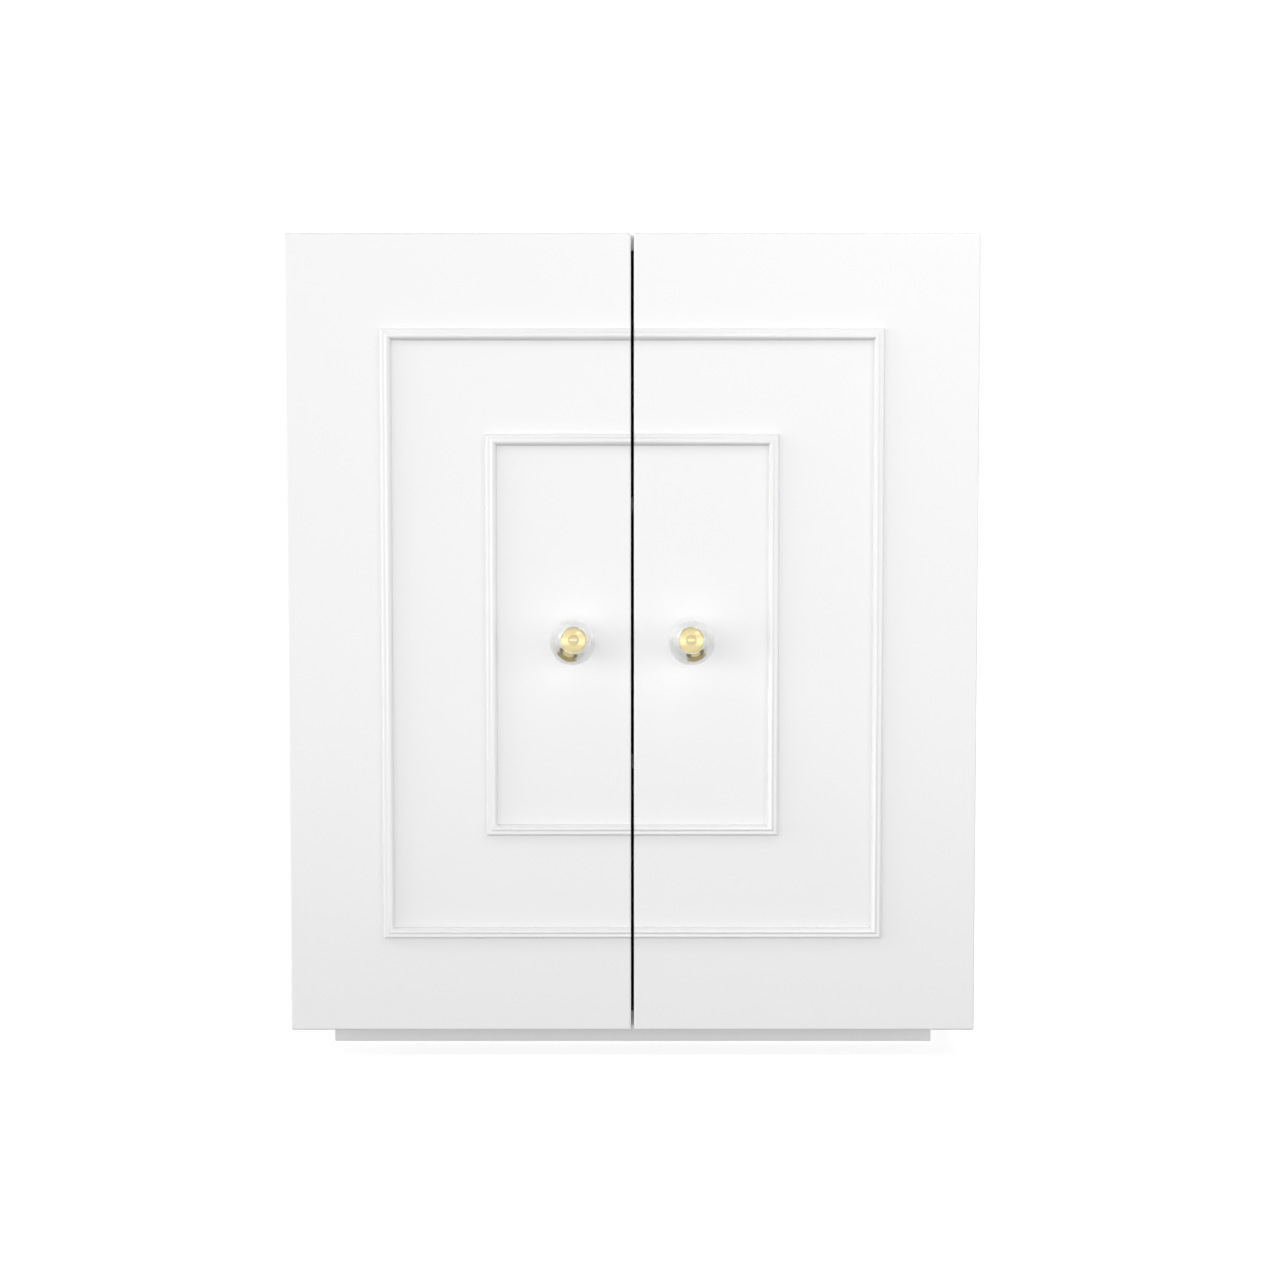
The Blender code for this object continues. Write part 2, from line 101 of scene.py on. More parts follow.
class LacquerSettings(bpy.types.PropertyGroup):
    """Colours and surface of the painted pieces."""

    gloss: FloatVectorProperty(
        name="Gloss White", description="High-gloss lacquer of the outside", subtype="COLOR",
        size=3, min=0.0, max=1.0, default=(0.86, 0.86, 0.858),
    )
    satin: FloatVectorProperty(
        name="Satin White", description="Satin lacquer of the shelves and the back", subtype="COLOR",
        size=3, min=0.0, max=1.0, default=(0.83, 0.83, 0.82),
    )
    plinth: FloatVectorProperty(
        name="Plinth White", description="Satin lacquer of the plinth", subtype="COLOR",
        size=3, min=0.0, max=1.0, default=(0.80, 0.80, 0.80),
    )
    peel_size: FloatProperty(
        name="Orange Peel Size", description="Width of one ripple in the sprayed surface",
        unit="LENGTH", min=0.0005, default=0.004,
    )
    peel_height: FloatProperty(
        name="Orange Peel Height", description="Height of the ripples in the sprayed surface",
        unit="LENGTH", min=0.0, precision=6, default=0.000012,
    )


class BoardSettings(bpy.types.PropertyGroup):
    """Edges and holes of the boards."""

    ease: FloatProperty(
        name="Board Edge Radius", description="Rounding of the carcass and shelf edges",
        unit="LENGTH", default=0.0011,
    )
    door_ease: FloatProperty(
        name="Door Edge Radius", description="Rounding of the door edges", unit="LENGTH", default=0.0022,
    )
    steps: IntProperty(name="Edge Steps", description="Facets across a rounded edge", min=1, default=4)
    peg_radius: FloatProperty(
        name="Peg Hole Radius", description="Radius of the shelf pin holes", unit="LENGTH", default=0.0026,
    )
    peg_pitch: FloatProperty(
        name="Peg Hole Spacing", description="Height between shelf pin holes", unit="LENGTH", default=0.032,
    )
    nail_spacing: FloatProperty(
        name="Nail Spacing", description="Distance between the nails round the back panel",
        unit="LENGTH", default=0.105,
    )
    nail_radius: FloatProperty(
        name="Nail Head Radius", description="Radius of the back panel's nails",
        unit="LENGTH", default=0.0017,
    )


class MouldingSettings(bpy.types.PropertyGroup):
    """Section of the ring mouldings: a low outer bead, a shallow groove and a high inner bead."""

    width: FloatProperty(
        name="Width", description="Width of the whole moulding", unit="LENGTH", default=0.0125,
    )
    low_place: FloatProperty(
        name="Low Bead Place", description="Outer bead's crown, in from the outer edge",
        unit="LENGTH", default=0.0030,
    )
    low_top: FloatProperty(
        name="Low Bead Height", description="Height of the outer bead", unit="LENGTH", default=0.0063,
    )
    groove_place: FloatProperty(
        name="Groove Place", description="Bottom of the groove, in from the outer edge",
        unit="LENGTH", default=0.0053,
    )
    groove: FloatProperty(
        name="Groove Height", description="Height of the groove's floor", unit="LENGTH", default=0.0060,
    )
    high_place: FloatProperty(
        name="High Bead Place", description="Inner bead's crown, in from the outer edge",
        unit="LENGTH", default=0.0078,
    )
    high_top: FloatProperty(
        name="High Bead Height", description="Height of the inner bead", unit="LENGTH", default=0.0072,
    )
    outer_foot: FloatProperty(
        name="Outer Foot", description="Height of the upright outer edge", unit="LENGTH", default=0.0008,
    )
    inner_foot: FloatProperty(
        name="Inner Foot", description="Height of the upright inner edge", unit="LENGTH", default=0.0010,
    )
    fillet: FloatProperty(
        name="Paint Fillet", description="Rounding where lacquer fills the foot",
        unit="LENGTH", default=0.0006,
    )
    steps: IntProperty(name="Bead Steps", description="Facets across a bead", min=4, default=16)


class KnobSettings(bpy.types.PropertyGroup):
    """The clear balls and their brass posts."""

    acrylic: FloatVectorProperty(
        name="Acrylic", description="Colour of the clear balls", subtype="COLOR",
        size=3, min=0.0, max=1.0, default=(0.985, 0.99, 1.0),
    )
    brass: FloatVectorProperty(
        name="Brass", description="Colour of the posts", subtype="COLOR",
        size=3, min=0.0, max=1.0, default=(0.64, 0.53, 0.26),
    )
    bore_depth: FloatProperty(
        name="Bore Depth", description="How far the post goes into the ball", unit="LENGTH", default=0.010,
    )
    bore_play: FloatProperty(
        name="Bore Play", description="Air between the post and the ball", unit="LENGTH", default=0.0003,
    )
    dimple: FloatProperty(
        name="Dimple Radius", description="Radius of the hollow in the post's end",
        unit="LENGTH", default=0.0026,
    )
    sides: IntProperty(name="Sides", description="Facets round the balls", min=24, default=96)


class HardwareSettings(bpy.types.PropertyGroup):
    """Hinges, screws, shelf pins and bumpers."""

    steel: FloatVectorProperty(
        name="Nickel", description="Colour of the plated steel", subtype="COLOR",
        size=3, min=0.0, max=1.0, default=(0.66, 0.65, 0.62),
    )
    bumper: FloatVectorProperty(
        name="Bumper", description="Colour of the soft clear bumpers", subtype="COLOR",
        size=3, min=0.0, max=1.0, default=(0.88, 0.89, 0.89),
    )
    cup_radius: FloatProperty(
        name="Cup Radius", description="Outer radius of a hinge cup", unit="LENGTH", default=0.0175,
    )
    cup_wall: FloatProperty(
        name="Cup Wall", description="Thickness of the cup's metal", unit="LENGTH", default=0.0012,
    )
    neck: FloatProperty(
        name="Neck Thickness", description="Thickness of the arm's bent neck",
        unit="LENGTH", default=0.0024,
    )
    screw_radius: FloatProperty(
        name="Screw Head Radius", description="Radius of the hinge screws' heads",
        unit="LENGTH", default=0.0032,
    )
    sides: IntProperty(name="Sides", description="Facets round the small turned pieces", min=16, default=40)


class StudioSettings(bpy.types.PropertyGroup):
    """Floor, lights and camera."""

    floor: FloatVectorProperty(
        name="Floor", description="Colour of the floor", subtype="COLOR",
        size=3, min=0.0, max=1.0, default=(0.9, 0.9, 0.9),
    )
    above: FloatProperty(
        name="Ceiling", description="Brightness of the room overhead", min=0.0, default=0.45,
    )
    below: FloatProperty(
        name="Ground", description="Brightness of the room underfoot", min=0.0, default=0.24,
    )
    wall_left: FloatProperty(
        name="Left Wall", description="Brightness of the walls at the left, at eye height",
        min=0.0, default=2.15,
    )
    wall_right: FloatProperty(
        name="Right Wall", description="Brightness of the walls at the right, at eye height",
        min=0.0, default=0.75,
    )
    left_power: FloatProperty(name="Left Light", description="Power in watts", min=0.0, default=16.0)
    top_power: FloatProperty(name="Top Light", description="Power in watts", min=0.0, default=4.8)
    front_power: FloatProperty(name="Front Light", description="Power in watts", min=0.0, default=3.2)
    low_power: FloatProperty(name="Low Right Light", description="Power in watts", min=0.0, default=3.0)
    lens: FloatProperty(
        name="Lens", description="Focal length of the camera", unit="CAMERA", default=68.95,
    )


GROUPS = (LacquerSettings, BoardSettings, MouldingSettings, KnobSettings, HardwareSettings, StudioSettings)
SETTINGS = {
    "cabinet_lacquer": LacquerSettings,
    "cabinet_boards": BoardSettings,
    "cabinet_moulding": MouldingSettings,
    "cabinet_knobs": KnobSettings,
    "cabinet_hardware": HardwareSettings,
    "cabinet_studio": StudioSettings,
}


# --------------------------------------------------------------------------------------------------
# Shapes


def middle_of(node):
    """The centre of a solid's box."""
    low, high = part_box(node)
    return (low + high) / 2


def centre_at(low, high, y):
    """The middle of a box seen from the front, at a given Y."""
    return Vector(((low.x + high.x) / 2, y, (low.z + high.z) / 2))


def wall_of(name, side):
    """The X of a side panel's inner face."""
    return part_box(f"side_panel_{name}")[0 if side > 0 else 1].x


def block(low, high, radius=0.0, steps=3):
    """A board between two corners, with rounded edges."""
    size = Vector(abs(b - a) for a, b in zip(low, high))
    shape = bmesh.new()
    bmesh.ops.create_cube(shape, size=1.0)
    bmesh.ops.scale(shape, vec=size, verts=shape.verts)
    if radius:
        bmesh.ops.bevel(
            shape, geom=shape.edges[:], offset=radius, segments=steps, profile=0.5, affect="EDGES",
        )
    bmesh.ops.translate(shape, vec=(Vector(low) + Vector(high)) / 2, verts=shape.verts)
    return shape


def upright_rounded(low, high, radius, ease, axis, steps=6):
    """A plate whose corners are rounded about one axis (0, 1 or 2), with lightly eased rims."""
    shape = block(low, high)
    along = [
        edge for edge in shape.edges
        if abs((edge.verts[0].co - edge.verts[1].co).normalized()[axis]) > 0.99
    ]
    bmesh.ops.bevel(shape, geom=along, offset=radius, segments=steps, profile=0.5, affect="EDGES")
    rims = [edge for edge in shape.edges if edge.calc_face_angle(0.0) > math.radians(60)]
    bmesh.ops.bevel(shape, geom=rims, offset=ease, segments=2, profile=0.5, affect="EDGES")
    return shape


def add_rod(shape, centre, radius, length, axis, sides):
    """Adds a round bar about the X, Y or Z axis to a shape."""
    turn = {
        "X": Matrix.Rotation(math.pi / 2, 4, "Y"),
        "Y": Matrix.Rotation(math.pi / 2, 4, "X"),
        "Z": Matrix.Identity(4),
    }[axis]
    bmesh.ops.create_cone(
        shape, cap_ends=True, segments=sides, radius1=radius, radius2=radius, depth=length,
        matrix=Matrix.Translation(centre) @ turn,
    )


def arc(centre, radius, first, last, steps):
    """Points on an arc, its angles in degrees."""
    turns = [math.radians(first + (last - first) * step / steps) for step in range(steps + 1)]
    return [(centre[0] + radius * math.cos(turn), centre[1] + radius * math.sin(turn)) for turn in turns]


def turned(profile, sides):
    """A closed turned shape about the Y axis, from (radius, distance ahead) points. Ahead is -Y."""
    shape = bmesh.new()
    points = [shape.verts.new((radius, -ahead, 0)) for radius, ahead in profile]
    edges = [shape.edges.new(pair) for pair in zip(points, points[1:])]
    bmesh.ops.spin(
        shape, geom=points + edges, cent=(0, 0, 0), axis=(0, 1, 0), angle=2 * math.pi, steps=sides,
        use_merge=True,
    )
    bmesh.ops.remove_doubles(shape, verts=shape.verts, dist=1e-7)
    bmesh.ops.recalc_face_normals(shape, faces=shape.faces)
    return shape


def prism(outline, low, high):
    """An outline in X and Y drawn up from one height to another."""
    shape = bmesh.new()
    base = shape.faces.new([shape.verts.new((x, y, low)) for x, y in outline])
    grown = bmesh.ops.extrude_face_region(shape, geom=[base], use_keep_orig=True)["geom"]
    top = [item for item in grown if isinstance(item, bmesh.types.BMVert)]
    bmesh.ops.translate(shape, vec=(0, 0, high - low), verts=top)
    bmesh.ops.recalc_face_normals(shape, faces=shape.faces)
    return shape


def stamp(shape, pattern, matrix):
    """Adds a copy of another shape, turned and moved by a matrix."""
    held = bpy.data.meshes.new("pattern")
    pattern.to_mesh(held)
    before = len(shape.verts)
    shape.from_mesh(held)
    shape.verts.ensure_lookup_table()
    bmesh.ops.transform(shape, matrix=matrix, verts=shape.verts[before:])
    bpy.data.meshes.remove(held)


def mesh_of(name, shape):
    """A mesh made of a shape, which is used up."""
    mesh = bpy.data.meshes.new(name)
    shape.to_mesh(mesh)
    shape.free()
    return mesh


def put(name, data):
    """A new object in the scene."""
    item = bpy.data.objects.new(name, data)
    bpy.context.scene.collection.objects.link(item)
    return item


def carve(shape, tool):
    """Cuts a closed tool shape out of another. Both are used up, and the rest is returned."""
    held = [put("bench", mesh_of("bench", part)) for part in (shape, tool)]
    cut = held[0].modifiers.new("carve", "BOOLEAN")
    cut.operation = "DIFFERENCE"
    cut.solver = "EXACT"
    cut.object = held[1]
    seen = held[0].evaluated_get(bpy.context.evaluated_depsgraph_get())
    rest = bmesh.new()
    rest.from_mesh(seen.to_mesh())
    seen.to_mesh_clear()
    for item in held:
        mesh = item.data
        bpy.data.objects.remove(item)
        bpy.data.meshes.remove(mesh)
    if not rest.faces:
        raise RuntimeError("a cut left nothing")
    return rest


def piece(name, shape, finish, body, slot, nodes=(), at=(0, 0, 0), crease=38.0):
    """Makes a named piece of a shape, with its finish, and hangs it on its body."""
    mesh = mesh_of(name, shape)
    mesh.materials.append(finish)
    mesh.shade_smooth()
    mesh.set_sharp_from_angle(angle=math.radians(crease))
    made = put(name, mesh)
    made.location = at
    even = made.modifiers.new("even_normals", "WEIGHTED_NORMAL")
    even.keep_sharp = True
    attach(made, body)
    if nodes:
        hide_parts(*nodes)
    return made


# --------------------------------------------------------------------------------------------------
# Finishes


def new_finish(name):
    """An empty finish: the material, its tree and its shader."""
    made = bpy.data.materials.new(f"{name}_finish")
    made.use_nodes = True
    return made, made.node_tree, made.node_tree.nodes["Principled BSDF"]


def fill(node, values):
    """Sets a node's plain values, by the names of their sockets."""
    for socket, value in values.items():
        node.inputs[socket].default_value = value


def noise(tree, size, detail=2.0, stretch=(1.0, 1.0, 1.0)):
    """Noise over the piece whose features are about one size across. Returns its value socket."""
    place = tree.nodes.new("ShaderNodeTexCoord")
    spread = tree.nodes.new("ShaderNodeMapping")
    fill(spread, {"Scale": stretch})
    cloud = tree.nodes.new("ShaderNodeTexNoise")
    fill(cloud, {"Scale": 1.0 / size, "Detail": detail})
    tree.links.new(place.outputs["Object"], spread.inputs["Vector"])
    tree.links.new(spread.outputs["Vector"], cloud.inputs["Vector"])
    return cloud.outputs["Fac"]


def ramp(tree, value, start, end, low, high, smooth=False):
    """A number that runs from low to high while another goes from start to end, and then stays."""
    scale = tree.nodes.new("ShaderNodeMapRange")
    if smooth:
        scale.interpolation_type = "SMOOTHSTEP"
    fill(scale, {"From Min": start, "From Max": end, "To Min": low, "To Max": high})
    tree.links.new(value, scale.inputs["Value"])
    return scale.outputs["Result"]


def between(tree, factor, low, high):
    """A number that runs from low to high as noise goes from dark to light."""
    return ramp(tree, factor, 0.3, 0.7, low, high)


def shaded(tree, factor, dark, light):
    """A colour between two others."""
    mix = tree.nodes.new("ShaderNodeMix")
    mix.data_type = "RGBA"
    fill(mix, {"A": (*dark, 1.0), "B": (*light, 1.0)})
    tree.links.new(factor, mix.inputs["Factor"])
    return mix.outputs["Result"]


def relief(tree, shader, height, distance):
    """Bumps the surface by a height socket, up to a distance in metres."""
    bump = tree.nodes.new("ShaderNodeBump")
    fill(bump, {"Distance": distance, "Strength": 1.0})
    tree.links.new(height, bump.inputs["Height"])
    tree.links.new(bump.outputs["Normal"], shader.inputs["Normal"])
    return bump.outputs["Normal"]


def darker(colour, share):
    """A colour with part of its light taken away."""
    return tuple(channel * (1.0 - share) for channel in colour)


def lacquer(name, colour, low_rough, high_rough, coat):
    """Sprayed lacquer: faint clouding, slightly uneven gloss and orange peel."""
    look = bpy.context.scene.cabinet_lacquer
    made, tree, shader = new_finish(name)
    clouding = shaded(tree, noise(tree, 0.35), darker(colour, 0.004), colour)
    tree.links.new(clouding, shader.inputs["Base Color"])
    tree.links.new(between(tree, noise(tree, 0.30), low_rough, high_rough), shader.inputs["Roughness"])
    normal = relief(tree, shader, noise(tree, look.peel_size), look.peel_height)
    tree.links.new(normal, shader.inputs["Coat Normal"])
    fill(shader, {"IOR": 1.5, "Coat Weight": coat, "Coat Roughness": 0.035})
    return made


def gloss_lacquer():
    """High-gloss white of the doors, mouldings and carcass."""
    return lacquer("white_gloss_lacquer", bpy.context.scene.cabinet_lacquer.gloss, 0.25, 0.27, 0.9)


def satin_lacquer():
    """Satin white of the shelves and the back panel."""
    return lacquer("white_satin_lacquer", bpy.context.scene.cabinet_lacquer.satin, 0.36, 0.46, 0.0)


def plinth_lacquer():
    """Satin white of the plinth."""
    return lacquer("plinth_lacquer", bpy.context.scene.cabinet_lacquer.plinth, 0.34, 0.42, 0.0)


def clear_acrylic():
    """Polished cast acrylic."""
    made, tree, shader = new_finish("clear_acrylic")
    look = bpy.context.scene.cabinet_knobs
    tint = shaded(tree, noise(tree, 0.03), darker(look.acrylic, 0.004), look.acrylic)
    tree.links.new(tint, shader.inputs["Base Color"])
    tree.links.new(between(tree, noise(tree, 0.012), 0.0, 0.004), shader.inputs["Roughness"])
    fill(shader, {"Transmission Weight": 1.0, "IOR": 1.49})
    return made


def polished_brass():
    """Turned brass with faint tarnish."""
    made, tree, shader = new_finish("polished_brass")
    colour = bpy.context.scene.cabinet_knobs.brass
    tarnish = shaded(tree, noise(tree, 0.004, 3.0), darker(colour, 0.10), colour)
    tree.links.new(tarnish, shader.inputs["Base Color"])
    tree.links.new(between(tree, noise(tree, 0.0015, 3.0), 0.10, 0.16), shader.inputs["Roughness"])
    relief(tree, shader, noise(tree, 0.0006), 0.000004)
    fill(shader, {"Metallic": 1.0})
    return made


def nickel_steel():
    """Nickel-plated steel, brushed one way and lightly mottled."""
    made, tree, shader = new_finish("nickel_steel")
    colour = bpy.context.scene.cabinet_hardware.steel
    mottle = shaded(tree, noise(tree, 0.006, 4.0), darker(colour, 0.16), colour)
    tree.links.new(mottle, shader.inputs["Base Color"])
    brushed = noise(tree, 0.0008, 3.0, stretch=(1.0, 0.06, 1.0))
    tree.links.new(between(tree, brushed, 0.20, 0.36), shader.inputs["Roughness"])
    relief(tree, shader, brushed, 0.000006)
    fill(shader, {"Metallic": 1.0})
    return made


def soft_bumper():
    """Soft clear plastic that dulls what is behind it."""
    made, tree, shader = new_finish("clear_bumper")
    colour = bpy.context.scene.cabinet_hardware.bumper
    cloud = shaded(tree, noise(tree, 0.002), darker(colour, 0.05), colour)
    tree.links.new(cloud, shader.inputs["Base Color"])
    tree.links.new(between(tree, noise(tree, 0.001), 0.28, 0.40), shader.inputs["Roughness"])
    fill(shader, {"Transmission Weight": 0.55, "IOR": 1.45})
    return made


def finish(name):
    """The finish of a slot, made the first time it is asked for."""
    makers = {
        "white_gloss_lacquer": gloss_lacquer,
        "white_satin_lacquer": satin_lacquer,
        "plinth_lacquer": plinth_lacquer,
        "clear_acrylic": clear_acrylic,
        "polished_brass": polished_brass,
        "nickel_steel": nickel_steel,
        "clear_bumper": soft_bumper,
    }
    return bpy.data.materials.get(f"{name}_finish") or makers[name]()


def make(name, shape, slot, body, nodes=(), **more):
    """A piece in the finish of its slot."""
    return piece(name, shape, finish(slot), body, slot, nodes, **more)


# --------------------------------------------------------------------------------------------------
# Carcass


def rectangle(half, low, high, y):
    """Four corners of an upright rectangle, centred on X."""
    return [Vector((x, y, z)) for x, z in ((-half, low), (half, low), (half, high), (-half, high))]


def carcass_shell(ease, steps):
    """Sides, top and bottom as one open box, rebated at the back, with rounded edges and front rim."""
    left_low, left_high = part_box("side_panel_left")
    back_low, back_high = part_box("back_panel")
    outer = -left_low.x
    inner = -left_high.x
    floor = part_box("bottom_panel")[1].z
    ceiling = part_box("top_panel")[0].z
    front, back = left_low.y, left_high.y
    shape = bmesh.new()
    loops = []
    for half, low, high, y in (
        (outer, left_low.z, left_high.z, front),
        (outer, left_low.z, left_high.z, back),
        (back_high.x, back_low.z, back_high.z, back),
        (back_high.x, back_low.z, back_high.z, back_low.y),
        (inner, floor, ceiling, back_low.y),
        (inner, floor, ceiling, front),
    ):
        loops.append([shape.verts.new(corner) for corner in rectangle(half, low, high, y)])
    for near, far in zip(loops, loops[1:] + loops[:1]):
        for step in range(4):
            following = (step + 1) % 4
            shape.faces.new((near[step], near[following], far[following], far[step]))
    bmesh.ops.recalc_face_normals(shape, faces=shape.faces)
    outside, rim = set(loops[0] + loops[1]), set(loops[5])
    eased = [
        edge for edge in shape.edges
        if set(edge.verts) <= outside or set(edge.verts) <= rim
    ]
    bmesh.ops.bevel(shape, geom=eased, offset=ease, segments=steps, profile=0.5, affect="EDGES")
    return shape


def peg_holes(radius, pitch):
    """Blind holes in the sides: one at each shelf pin, one above and one below."""
    shape = bmesh.new()
    for level in LEVELS:
        for name, side in SIDES.items():
            for row in ROWS:
                low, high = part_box(f"shelf_pin_{level}_{name}_{row}")
                wall = wall_of(name, side)
                depth = max(abs(low.x), abs(high.x)) - abs(wall)
                middle = (low + high) / 2
                for step in (-1, 0, 1):
                    centre = Vector((wall, middle.y, middle.z + step * pitch))
                    add_rod(shape, centre, radius, 2 * depth, "X", 24)
    return shape


class CABINET_OT_carcass(bpy.types.Operator):
    """Make the lacquered carcass, its back panel and the nails that hold it"""

    bl_idname = "cabinet.carcass"
    bl_label = "Carcass"
    bl_options = {"REGISTER", "UNDO"}

    def execute(self, context):
        sizes = context.scene.cabinet_boards
        shell = carve(carcass_shell(sizes.ease, sizes.steps), peg_holes(sizes.peg_radius, sizes.peg_pitch))
        boards = ("side_panel_left", "side_panel_right", "top_panel", "bottom_panel")
        make("carcass", shell, "white_gloss_lacquer", CARCASS, boards)
        low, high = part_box("back_panel")
        high.y -= NAIL_STAND
        make("back_board", block(low, high, 0.0004, 2), "white_satin_lacquer", CARCASS, ["back_panel"])
        make("back_nails", back_nails(low, high, sizes), "nickel_steel", CARCASS)
        return {"FINISHED"}


def back_nails(low, high, sizes):
    """Flat nail heads at an even spacing, a little in from the back panel's edge."""
    inset = 3 * sizes.nail_radius
    head = turned(
        [(0, 0), (sizes.nail_radius, 0), (sizes.nail_radius, -0.4 * NAIL_STAND),
         (0.6 * sizes.nail_radius, -NAIL_STAND), (0, -NAIL_STAND)],
        sides=20,
    )
    shape = bmesh.new()
    across = round((high.x - low.x) / sizes.nail_spacing)
    up = round((high.z - low.z) / sizes.nail_spacing)
    spots = []
    for step in range(across + 1):
        x = low.x + inset + (high.x - low.x - 2 * inset) * step / across
        spots += [(x, low.z + inset), (x, high.z - inset)]
    for step in range(1, up):
        z = low.z + inset + (high.z - low.z - 2 * inset) * step / up
        spots += [(low.x + inset, z), (high.x - inset, z)]
    for x, z in spots:
        stamp(shape, head, Matrix.Translation((x, high.y, z)))
    head.free()
    return shape


class CABINET_OT_plinth(bpy.types.Operator):
    """Make the four boards of the plinth"""

    bl_idname = "cabinet.plinth"
    bl_label = "Plinth"
    bl_options = {"REGISTER", "UNDO"}

    def execute(self, context):
        sizes = context.scene.cabinet_boards
        for place in ("front", "back", "left", "right"):
            low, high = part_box(f"plinth_{place}")
            board = block(low, high, sizes.ease, sizes.steps)
            make(f"plinth_board_{place}", board, "plinth_lacquer", CARCASS, [f"plinth_{place}"])
        return {"FINISHED"}


class CABINET_OT_shelves(bpy.types.Operator):
    """Make the shelves and the steel pins under them"""

    bl_idname = "cabinet.shelves"
    bl_label = "Shelves"
    bl_options = {"REGISTER", "UNDO"}

    def execute(self, context):
        sizes = context.scene.cabinet_boards
        sides = context.scene.cabinet_hardware.sides
        for level in LEVELS:
            low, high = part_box(f"shelf_{level}")
            board = block(low, high, sizes.ease, sizes.steps)
            make(f"shelf_board_{level}", board, "white_satin_lacquer", CARCASS, [f"shelf_{level}"])
            for name, side in SIDES.items():
                wall = wall_of(name, side)
                for row in ROWS:
                    node = f"shelf_pin_{level}_{name}_{row}"
                    shape, centre = shelf_pin(node, side, wall, sides)
                    label = f"steel_pin_{level}_{name}_{row}"
                    make(label, shape, "nickel_steel", CARCASS, [node], at=centre)
        return {"FINISHED"}


def shelf_pin(node, side, wall, sides):
    """A steel pin with a collar against the side panel, and the point on the wall where it stands."""
    low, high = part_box(node)
    radius = (high.z - low.z) / 2
    out = abs(wall) - min(abs(low.x), abs(high.x))
    deep = max(abs(low.x), abs(high.x)) - abs(wall)
    ease = 0.0005
    collar = radius + 0.0009
    collar_front = 0.0015
    shape = turned(
        [(0, out), (radius - ease, out), (radius, out - ease), (radius, collar_front), (collar, 0.0012),
         (collar, 0.0002), (radius, 0.0001), (radius, ease - deep), (radius - ease, -deep), (0, -deep)],
        sides,
    )
    turn = Matrix.Rotation(-side * math.pi / 2, 3, "Z")
    bmesh.ops.rotate(shape, cent=(0, 0, 0), matrix=turn, verts=shape.verts)
    middle = (low + high) / 2
    return shape, Vector((wall, middle.y, middle.z))


# --------------------------------------------------------------------------------------------------
# Doors


def door_slab(name, ease, steps):
    """A door with rounded edges, its two cup pockets and the hole for the knob's screw."""
    low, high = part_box(f"door_{name}")
    slab = block(low, high, ease, steps)
    holes = bmesh.new()
    for level in LEVELS:
        cup_low, cup_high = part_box(f"hinge_cup_{name}_{level}")
        centre = (cup_low + cup_high) / 2
        depth = high.y - cup_low.y + CUP_POCKET_PLAY
        radius = bpy.context.scene.cabinet_hardware.cup_radius + CUP_POCKET_PLAY
        add_rod(holes, Vector((centre.x, high.y, centre.z)), radius, 2 * depth, "Y", 72)
    knob = middle_of(f"knob_screw_{name}")
    through = Vector((knob.x, (low.y + high.y) / 2, knob.z))
    add_rod(holes, through, SCREW_HOLE_RADIUS, 2 * (high.y - low.y), "Y", 24)
    return carve(slab, holes)


def wave(first, last, steps):
    """Points on an even S-curve from one level spot to another, without its two ends."""
    points = []
    for step in range(1, steps):
        share = step / steps
        ease = (1 - math.cos(math.pi * share)) / 2
        points.append((first[0] + (last[0] - first[0]) * share, first[1] + (last[1] - first[1]) * ease))
    return points


def moulding_section(look):
    """The moulding's outline as (in from the ring's outer edge, proud of the door), feet filleted."""
    fillet = look.fillet
    quarter = look.steps // 2
    low, groove, high = (
        (look.low_place, look.low_top), (look.groove_place, look.groove), (look.high_place, look.high_top),
    )
    points = arc((-fillet, fillet), fillet, -90, 0, 4)
    for across, up in arc((0, 0), 1.0, 180, 90, quarter):
        points.append((low[0] * (1 + across), look.outer_foot + (low[1] - look.outer_foot) * up))
    points += wave(low, groove, quarter)
    points += [groove]
    points += wave(groove, high, quarter)
    flank = look.width - look.high_place
    for across, up in arc((0, 0), 1.0, 90, 0, quarter):
        points.append((high[0] + flank * across, look.inner_foot + (high[1] - look.inner_foot) * up))
    points += arc((look.width + fillet, fillet), fillet, 180, 270, 4)
    return points


def moulding_ring(name, side, ring, look):
    """Three runs of moulding in one: top, stile and bottom, mitred at the corners."""
    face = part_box(f"door_{name}")[0].y
    top_low, top_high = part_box(f"{ring}_moulding_top_{name}")
    bottom_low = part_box(f"{ring}_moulding_bottom_{name}")[0]
    outer = max(abs(top_low.x), abs(top_high.x))
    meeting = min(abs(top_low.x), abs(top_high.x))
    shape = bmesh.new()
    rows = []
    for inward, proud in moulding_section(look):
        corners = (
            (meeting, top_high.z - inward),
            (outer - inward, top_high.z - inward),
            (outer - inward, bottom_low.z + inward),
            (meeting, bottom_low.z + inward),
        )
        rows.append([shape.verts.new((side * x, face - proud, z)) for x, z in corners])
    for near, far in zip(rows, rows[1:]):
        for first, second in ((0, 1), (1, 2), (2, 3)):
            shape.faces.new((near[first], near[second], far[second], far[first]))
    for first, second in ((0, 1), (1, 2), (2, 3)):
        shape.faces.new((rows[-1][first], rows[-1][second], rows[0][second], rows[0][first]))
    shape.faces.new([row[0] for row in rows])
    shape.faces.new([row[3] for row in rows])
    bmesh.ops.recalc_face_normals(shape, faces=shape.faces)
    return shape


def bumper_dome(node, sides):
    """A low clear dome stuck on the inside of a door."""
    low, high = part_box(node)
    radius = (high.x - low.x) / 2
    tall = high.y - low.y
    profile = [(0, 0), (radius, 0)]
    profile += [(radius * across, -tall * up) for across, up in arc((0, 0), 1.0, 12, 90, 8)]
    shape = turned(profile, sides)
    return shape, centre_at(low, high, low.y)


